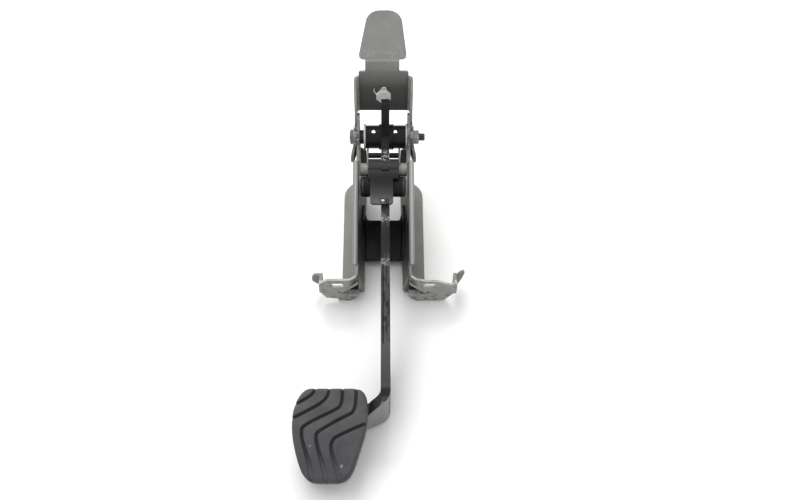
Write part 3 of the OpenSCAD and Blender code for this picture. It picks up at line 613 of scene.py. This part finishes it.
def black_rubber(tree):
    """Matt rubber with a fine grain, painted shade in the grooves and towards the lower end, and scuffed in
    small spots.
    """
    cloud = noise(tree, 11, 5)
    clean = ramp(tree, cloud, [(0.3, (0.058, 0.059, 0.062)), (0.7, (0.084, 0.085, 0.089))])
    return {
        "Base Color": paint_over(tree, clean, [
            # painted shade towards the pad's lower end
            (grow(tree, along(tree, "Y"), -222 * MM, -252 * MM), 0.8, (0.046, 0.047, 0.051)),
            # painted shade in the grooves
            (groove_painted_shade(tree), 0.8, (0.012, 0.012, 0.013)),
            (pad_scuffs(tree), 0.7, (0.24, 0.24, 0.24)),
        ]),
        "Roughness": ramp(tree, cloud, [(0.3, 0.62), (0.7, 0.5)]),
        "Normal": bump(tree, noise(tree, 0.5, 3), 0.05, 0.5),
    }


def pit_shade(tree):
    """Painted shade: a dark finish for the discs at the back of the notches and the small holes in the feet.
    """
    # the noise only varies the tone of this painted shade
    dirt_and_shade = ramp(tree, noise(tree, 1.5, 3), [(0.3, (0.02, 0.02, 0.02)), (0.7, (0.05, 0.05, 0.048))])
    return {"Base Color": dirt_and_shade, "Roughness": 0.8}


def floor_white(tree):
    """A pale floor that the camera and glossy surfaces see as near white, with the part's shadow."""
    rays = node(tree, "ShaderNodeLightPath").outputs
    seen = calc(tree, "ADD", rays["Is Camera Ray"], rays["Is Glossy Ray"], clamp=True)
    lit = ramp(tree, noise(tree, 300, 2), [(0.3, 0.84), (0.7, 0.86)])
    return {
        "Base Color": blend(tree, seen, lit, (0.99, 0.99, 0.985)),
        "Roughness": 0.55,
        "Specular IOR Level": 0.3,
    }


# Mesh helpers, in millimetres

def mesh_piece(name, verts, faces, material):
    """A new smooth piece from points and faces."""
    mesh = bpy.data.meshes.new(name)
    mesh.from_pydata([tuple(MM * c for c in v) for v in verts], [], faces)
    mesh.materials.append(material)
    mesh.polygons.foreach_set("use_smooth", [True] * len(mesh.polygons))
    mesh.update()
    made = bpy.data.objects.new(name, mesh)
    bpy.context.scene.collection.objects.link(made)
    return made


def clean_mesh(piece):
    """Joins points that coincide and turns all faces outwards."""
    tidy = bmesh.new()
    tidy.from_mesh(piece.data)
    bmesh.ops.remove_doubles(tidy, verts=tidy.verts, dist=1e-6)
    bmesh.ops.recalc_face_normals(tidy, faces=tidy.faces)
    tidy.to_mesh(piece.data)
    tidy.free()


def shade_by_angle(piece, degrees):
    for other in bpy.context.selected_objects:
        other.select_set(False)
    piece.select_set(True)
    bpy.context.view_layer.objects.active = piece
    bpy.ops.object.shade_smooth_by_angle(angle=math.radians(degrees))


def ring_faces(rings, sides, start=0, closed=False):
    """Faces that join rings of points, each ring with the same number of sides."""
    faces = []
    for k in range(rings if closed else rings - 1):
        a = start + k * sides
        b = start + (k + 1) % rings * sides
        for i in range(sides):
            j = (i + 1) % sides
            faces.append((a + i, a + j, b + j, b + i))
    return faces


def grid_faces(rows, columns):
    """Faces of a sheet whose points lie in rows."""
    starts = [r * columns + c for r in range(rows - 1) for c in range(columns - 1)]
    return [(a, a + 1, a + columns + 1, a + columns) for a in starts]


def grid_border(rows, columns):
    """The points round the edge of such a sheet, in order."""
    border = list(range(columns))
    border += [r * columns + columns - 1 for r in range(1, rows)]
    border += [(rows - 1) * columns + c for c in range(columns - 2, -1, -1)]
    border += [r * columns for r in range(rows - 2, 0, -1)]
    return border


def curve(a, b, c, d, n=8):
    """Points of a cubic curve, as part of an outline."""
    t = np.linspace(0, 1, n + 1)[:, None]
    s = 1 - t
    shares = (s ** 3, 3 * s * s * t, 3 * s * t * t, t ** 3)
    return sum(share * np.array(point) for share, point in zip(shares, (a, b, c, d)))


def resample(line, count):
    """The same line as count points, evenly spaced along it."""
    line = np.array(line, float)
    run = np.concatenate([[0], np.cumsum(np.linalg.norm(np.diff(line, axis=0), axis=1))])
    at = np.linspace(0, run[-1], count)
    return np.stack([np.interp(at, run, line[:, k]) for k in range(line.shape[1])], 1)


def distance_to(line, points):
    """Distance of each point to a line, and the side of the line on which the point lies."""
    best = np.full(len(points), np.inf)
    side = np.zeros(len(points))
    for a, b in zip(line[:-1], line[1:]):
        step = b - a
        size = math.hypot(*step)
        if size < 1e-9:
            continue
        t = np.clip(((points - a) @ step) / size ** 2, 0, 1)
        gap = points - (a + t[:, None] * step)
        far = np.hypot(gap[:, 0], gap[:, 1])
        near = far < best
        best[near] = far[near]
        cross = step[0] * (points[:, 1] - a[1]) - step[1] * (points[:, 0] - a[0])
        side[near] = np.sign(cross[near])
    return best, side


def smoothstep(x, lo, hi):
    t = np.clip((x - lo) / (hi - lo), 0, 1)
    return t * t * (3 - 2 * t)


# The rubber pad, in its own plane: u across, v along, w up from the top of the tread

def pad_to_part(points):
    u, v, w = np.array(points, float).T
    x = PAD_MID[0] + u
    y = PAD_MID[1] + v * math.cos(PAD_TILT) - w * math.sin(PAD_TILT)
    z = PAD_MID[2] + v * math.sin(PAD_TILT) + w * math.cos(PAD_TILT)
    return np.stack([x, y, z], 1)


def pad_sides():
    """The pad's left and right edge, each from its lower to its upper end."""
    half = PAD_W / 2
    top = PAD_LEN * 0.52
    low = -PAD_LEN * 0.475
    left = np.concatenate([
        curve((-8, low), (-14, low), (-18, low + 3.5), (-20.7, -25.2), 10),
        curve((-21.2, -24.1), (-23.8, -18), (-half, -3), (-half, 11), 10),
        curve((-half, 13), (-half, 26), (-23, top), (-16, top), 14),
    ])
    right = np.concatenate([
        curve((5, low), (15, low), (17.5, low + 5), (20.5, -21), 10),
        curve((23, -13), (26, -4), (half - 0.5, 4), (half, 15), 10),
        curve((half, 22), (half - 0.5, top - 1), (23, top), (16, top), 14),
    ])
    return left, right


def groove_lines():
    """Middle lines of the five grooves, from the pad's lower or left edge to its upper or right edge."""
    return [
        [(-29, 24), *curve((-24, 26), (-15, 31.5), (-12.5, 32.5), (-11.5, 40))],
        [(-32, 12), *curve((-27, 14.5), (-5, 26), (-1, 27), (-1, 40), 10)],
        [(-11, -36), *curve((-12.2, -30), (-15, -14), (-21.4, -6), (-21.4, 3)),
         *curve((-21.2, 6), (-20, 9), (-4, 16), (4, 20)),
         *curve((7, 22), (9.5, 24), (9.4, 29), (9.4, 40))],
        [(-0.5, -36), *curve((-1.4, -31), (-4, -18), (-10, -9), (-10.1, 0)),
         *curve((-9.5, 2.5), (-5, 6), (6, 12), (13, 15.5)),
         *curve((17, 17.5), (20.3, 20), (20.3, 28), (20.3, 40))],
        [(10.5, -36), *curve((9.1, -31), (5, -18), (0.5, -11), (2, -5)),
         *curve((4, -1.5), (12, 3), (24, 8), (32, 11))],
    ]


def tread_depth(points):
    """How far the tread lies below the pad's highest plane at each point, in grooves and in one scoop."""
    depth = np.zeros(len(points))
    wide = smoothstep(-points[:, 1], 4, 30)
    half = 1.5 + 0.9 * wide
    deep = 2.4 - 1.5 * wide
    for line in groove_lines():
        far, side = distance_to(resample(line, 60), points)
        signed = far * side
        wall_up = smoothstep(signed, half - 0.1, half - 0.75)
        wall_low = smoothstep(-signed, half + 0.2, half - 1.1 - 0.8 * wide)
        depth = np.maximum(depth, deep * wall_up * wall_low)
    scoop_mid, scoop_reach, scoop_depth = (12, -15), (8, 13), 0.6
    away = np.hypot(*((points - scoop_mid) / scoop_reach).T)
    return np.maximum(depth, scoop_depth * smoothstep(away, 1.0, 0.55))


def edge_fall(far, radius):
    """Drop of a rounded rim at a distance from the outline."""
    inside = np.clip(radius - far, 0, radius)
    return radius - np.sqrt(np.maximum(radius ** 2 - inside ** 2, 0))


def pad_skirt(rim, loop, first):
    """Points and faces of the pad's sides, its lower rim and the channel that holds the plate."""
    ahead = np.roll(rim, -1, 0) - np.roll(rim, 1, 0)
    ahead /= np.maximum(np.linalg.norm(ahead, axis=1), 1e-9)[:, None]
    inward = np.stack([-ahead[:, 1], ahead[:, 0]], 1)
    plate_under = -PLATE_TOP - PLATE_T
    steps = [(0.0, -PAD_RIM - 2), (0.0, -PAD_T + 1.2), (0.4, -PAD_T + 0.35), (1.2, -PAD_T), (6.6, -PAD_T),
             (7.0, -PAD_T + 0.4), (7.0, plate_under + 0.2)]
    lowest = np.where(over_arm(rim), plate_under + 0.05, -PAD_T)
    verts, faces = [], []
    previous = loop
    for inset, level in steps:
        height = np.maximum(level, lowest)
        start = first + len(verts)
        verts += [tuple(p) for p in pad_to_part(np.column_stack([rim + inward * inset, height]))]
        ring = list(range(start, start + len(loop)))
        for i in range(len(loop)):
            j = (i + 1) % len(loop)
            faces.append((previous[j], previous[i], ring[i], ring[j]))
        previous = ring
    return verts, faces


def make_pad(material):
    rows, columns = 190, 160
    left, right = (resample(side, rows) for side in pad_sides())
    # The columns lie closer together near the edges, where the rim is rounded
    ease = 0.5 - 0.5 * np.cos(np.linspace(0, math.pi, columns))
    across = 0.55 * ease + 0.45 * np.linspace(0, 1, columns)
    plane = left[:, None, :] * (1 - across)[None, :, None] + right[:, None, :] * across[None, :, None]
    plane = plane.reshape(-1, 2)
    outline = np.concatenate([left, right[::-1], left[:1]])
    far, _ = distance_to(outline, plane)
    w = -np.minimum(edge_fall(far, PAD_RIM) + tread_depth(plane), PAD_RIM + 1.5)
    verts = [tuple(p) for p in pad_to_part(np.column_stack([plane, w]))]
    loop = grid_border(rows, columns)
    skirt_verts, skirt_faces = pad_skirt(plane[loop], loop, len(verts))
    pad = mesh_piece("pad_tread", verts + skirt_verts, grid_faces(rows, columns) + skirt_faces, material)
    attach(pad, "pedal")
    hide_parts("pad_rubber")


def over_arm(points):
    """True where the arm passes under the pad's rim, after it has turned to the left."""
    lead = 12
    x = PAD_MID[0] + points[:, 0]
    y = PAD_MID[1] + points[:, 1] * math.cos(PAD_TILT) + PLATE_TOP * math.sin(PAD_TILT)
    way = np.array([-math.sin(BEND_TURN), -math.cos(BEND_TURN)])
    bend = np.array([ARM_MID_X - BEND_RADIUS, BEND_Y]) + BEND_RADIUS * np.array([-way[1], way[0]])
    gap = np.stack([x, y], 1) - bend
    off = np.abs(gap @ np.array([-way[1], way[0]]))
    return (off < ARM_HALF) & (gap @ way > -lead)


# The bolt as one turned form: hexagon head with a washer face, shank and a real thread

def bolt_rings(around):
    """Rings along X, each as (x, a radius for each turn), from the head to the free end."""
    radius = BOLT_D / 2
    flange = HEX_W / 2 + 1.0
    hexagon = HEX_W / 2 / np.cos((around + math.pi / 6) % (math.pi / 3) - math.pi / 6)
    dome = [(0, 0), (0, 4.2), (0.12, 5.2), (0.5, 6.35), (0.9, 7.0), (1.3, 7.6)]
    rings = [(HEAD_OUT + x, np.minimum(hexagon, r)) for x, r in dome]
    rings.append((HEAD_FACE - 1.15, np.minimum(hexagon, 7.6)))
    thread_from = NUT_OUT - 0.5
    plain = [(HEAD_FACE - 1.0, flange - 0.15), (HEAD_FACE - 0.85, flange), (HEAD_FACE - 0.1, flange),
             (HEAD_FACE, flange - 0.1), (HEAD_FACE + 0.01, radius), (thread_from, radius)]
    rings += [(x, np.full(len(around), r)) for x, r in plain]
    for x in np.arange(thread_from + 0.1, BOLT_END - 0.05, THREAD_PITCH / 10):
        turn = (x / THREAD_PITCH - around / (2 * math.pi)) % 1
        ridge = np.abs(turn * 2 - 1)
        fade = smoothstep(np.array(x), thread_from, thread_from + 1.0)
        tip = max(0.0, 1 - (BOLT_END - x) / TIP_LEN)
        rings.append((x, radius - THREAD_DEPTH * (1 - ridge) * fade - TIP_FALL * tip))
    rings += [(BOLT_END, np.full(len(around), radius - 1.0)), (BOLT_END, np.zeros(len(around)))]
    return rings


def make_bolt(material):
    sides = 60
    around = np.linspace(0, 2 * math.pi, sides, endpoint=False)
    rings = bolt_rings(around)
    verts = []
    for x, reach in rings:
        verts += [(x, PIVOT[0] + r * math.sin(t), PIVOT[1] + r * math.cos(t)) for r, t in zip(reach, around)]
    bolt = mesh_piece("bolt_with_thread", verts, ring_faces(len(rings), sides), material)
    clean_mesh(bolt)
    shade_by_angle(bolt, 35)
    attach(bolt, "bracket")
    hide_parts("pivot_bolt")


# The stop clip: a thin eight sided collar on a round neck, with its nose towards the lever

def collar_points():
    """Rings along Y from the collar's front to the barb's end: eight sided first, then round."""
    sides = 40
    flat = 6.5
    corner = flat / math.cos(math.pi / 8)
    eight_sided = [(82.5, 0), (82.5, corner - 0.6), (83.0, corner), (85.7, corner), (86.2, corner - 0.5)]
    turned = [(86.3, 3.9), (94.6, 3.9), (94.65, 5.4), (95.2, 5.3), (97.0, 3.7), (97.1, 0)]
    side_turn = math.pi / 4
    points = []
    for y, radius in eight_sided + turned:
        for t in np.linspace(0, 2 * math.pi, sides, endpoint=False):
            reach = radius
            if y < turned[0][0]:
                reach *= math.cos(side_turn / 2) / math.cos(t % side_turn - side_turn / 2)
            turn = t + side_turn / 2
            points.append((1.1 * reach * math.cos(turn), y, CLIP_Z + reach * math.sin(turn)))
    return points, ring_faces(len(eight_sided + turned), sides)


def nose_points(first):
    """The nose as a bar along Y with bevelled corners and a tapered tip."""
    sections = [(72.95, 1.8, 115.6, 118.4), (73.6, 2.3, 115.0, 118.9), (84.0, 2.3, 115.0, 118.9)]
    below, above = 0.6, 0.8
    points = []
    for y, half, low, high in sections:
        right = [(half - below, low), (half, low + below), (half, high - above), (half - above, high)]
        left = [(-x, z) for x, z in reversed(right)]
        points += [(x, y, z) for x, z in right + left]
    sides = 8
    faces = ring_faces(len(sections), sides, first)
    end = first + len(points)
    faces += [tuple(range(first, first + sides)), tuple(range(end - 1, end - sides - 1, -1))]
    return points, faces


def make_clip(material):
    collar, collar_faces = collar_points()
    nose, nose_faces = nose_points(len(collar))
    clip = mesh_piece("clip_with_nose", collar + nose, collar_faces + nose_faces, material)
    clean_mesh(clip)
    shade_by_angle(clip, 30)
    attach(clip, "bracket")
    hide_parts("stop_clip")


# Small pieces

def tube_piece(name, path, radius, material, sides, closed=False):
    """A round strand along a path, with one radius or a radius for each point."""
    path = np.array(path, float)
    if closed:
        ahead = np.roll(path, -1, 0) - np.roll(path, 1, 0)
    else:
        ahead = np.gradient(path, axis=0)
    ahead /= np.linalg.norm(ahead, axis=1)[:, None]
    radius = np.broadcast_to(np.array(radius, float), (len(path),))
    verts = []
    side = np.cross(ahead[0], (0.3, 0.2, 1.0))
    for point, way, r in zip(path, ahead, radius):
        side = side - way * (side @ way)
        side /= np.linalg.norm(side)
        other = np.cross(way, side)
        for k in range(sides):
            turn = 2 * math.pi * k / sides
            verts.append(tuple(point + r * (math.cos(turn) * side + math.sin(turn) * other)))
    faces = ring_faces(len(path), sides, closed=closed)
    if not closed:
        faces.append(tuple(range(sides - 1, -1, -1)))
        faces.append(tuple(range(len(verts) - sides, len(verts))))
    return mesh_piece(name, verts, faces, material)


def ring_path(centre, radius, across, other, count):
    across, other = np.array(across, float), np.array(other, float)
    turns = np.linspace(0, 2 * math.pi, count, endpoint=False)
    return [np.array(centre) + radius * (math.cos(t) * across + math.sin(t) * other) for t in turns]


def make_clip_strands(material):
    """The small ring over the clip's collar and the loose strand beside it."""
    loop = ring_path((0.5, 84.6, 128.5), 1.9, (1, 0, 0), (0, 0.45, 0.89), 28)
    eye = tube_piece("clip_eye", loop, 0.55, material, 8, closed=True)
    strand = curve((-9.0, 86.5, 128.2), (-10.0, 85.5, 126.2), (-8.8, 84.8, 124.4), (-6.6, 84.6, 122.6), 12)
    whisker = tube_piece("clip_whisker", strand, np.linspace(0.3, 0.6, len(strand)), material, 8)
    for piece in (eye, whisker):
        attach(piece, "bracket")


def make_welds(material):
    """Uneven beads round the pivot tube and the cross tube, on both sides of the arm."""
    count = 48
    turns = np.linspace(0, 2 * math.pi, count, endpoint=False)
    rng = np.random.default_rng(7)
    cross = corners("cross_tube").mean(axis=0)[1:]
    beads = [("weld_left", -3.7, PIVOT, 12.1), ("weld_right", 9.3, PIVOT, 12.1),
             ("weld_tube_left", -2.5, cross, 10.3), ("weld_tube_right", 5.9, cross, 10.3)]
    for name, x, middle, radius in beads:
        path = ring_path((x, *middle), radius, (0, 1, 0), (0, 0, 1), count)
        bead = 0.9 + 0.12 * np.sin(turns * 16) + 0.08 * rng.random(count)
        weld = tube_piece(name, path, bead, material, 8, closed=True)
        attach(weld, "pedal")


def make_rivet(material):
    """The low rivet in the tongue's tip."""
    x, y, foot = -0.5, -14, 70.5
    path = [(x, y, foot), (x, y, foot + 1.4), (x, y, foot + 1.7)]
    rivet = tube_piece("tongue_rivet", path, [1.7, 1.7, 1.0], material, 16)
    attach(rivet, "pedal")


def make_foot_shades(material):
    """Painted shade: thin dark discs behind the notches and the small holes in the feet, flattened at the
    floor.
    """
    lowest = 0.1 * MM
    discs = [("foot_shade_left", -41, 1.84, 2.7), ("foot_shade_right", 41, 1.84, 2.7),
             ("foot_pit_shade_right", 42, 13, 1.5), ("foot_pit_shade_left", -42, 13, 1.5)]
    for name, x, z, radius in discs:
        path = [(x, FOOT_BACK_Y, z), (x, FOOT_BACK_Y + 0.4, z)]
        disc = tube_piece(name, path, radius, material, 20)
        for v in disc.data.vertices:
            v.co.z = max(v.co.z, lowest)
        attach(disc, "bracket")


materials = {build.__name__: finish_material(build.__name__, build)
             for build in (grey_paint, black_paint, zinc_plate, nylon, black_rubber)}
for part in frame["record"]["subparts"]:
    target = frame["nodes"][part["node"]]
    target.data.materials.clear()
    target.data.materials.append(materials[part["material_slot"]])

for name in ("left_pin_bush", "right_pin_bush"):
    frame["nodes"][name].data.materials[0] = finish_material(name + "_look", shaded_bush_nylon)

frame["nodes"]["pivot_spacer"].data.materials[0] = finish_material("spacer_look", greased_steel)

make_camera()
make_world(strength=0.86)
make_lamp("key", place=(-0.9, 0.45, 1.7), target=(0, -0.05, 0), size=(1.6, 1.6), power=13)
make_lamp("back", place=(-0.25, 1.6, 1.35), target=(0, 0, 0.02), size=(1.1, 0.7), power=24, mirrored=False)
make_floor(4.0, finish_material("floor", floor_white))
make_pad(materials["black_rubber"])
make_bolt(finish_material("bolt_metal", bolt_metal))
make_clip(materials["nylon"])
make_clip_strands(materials["nylon"])
make_welds(materials["black_paint"])
make_rivet(materials["nylon"])
make_foot_shades(finish_material("pit_shade", pit_shade))

bpy.context.scene.view_settings.view_transform = "Standard"
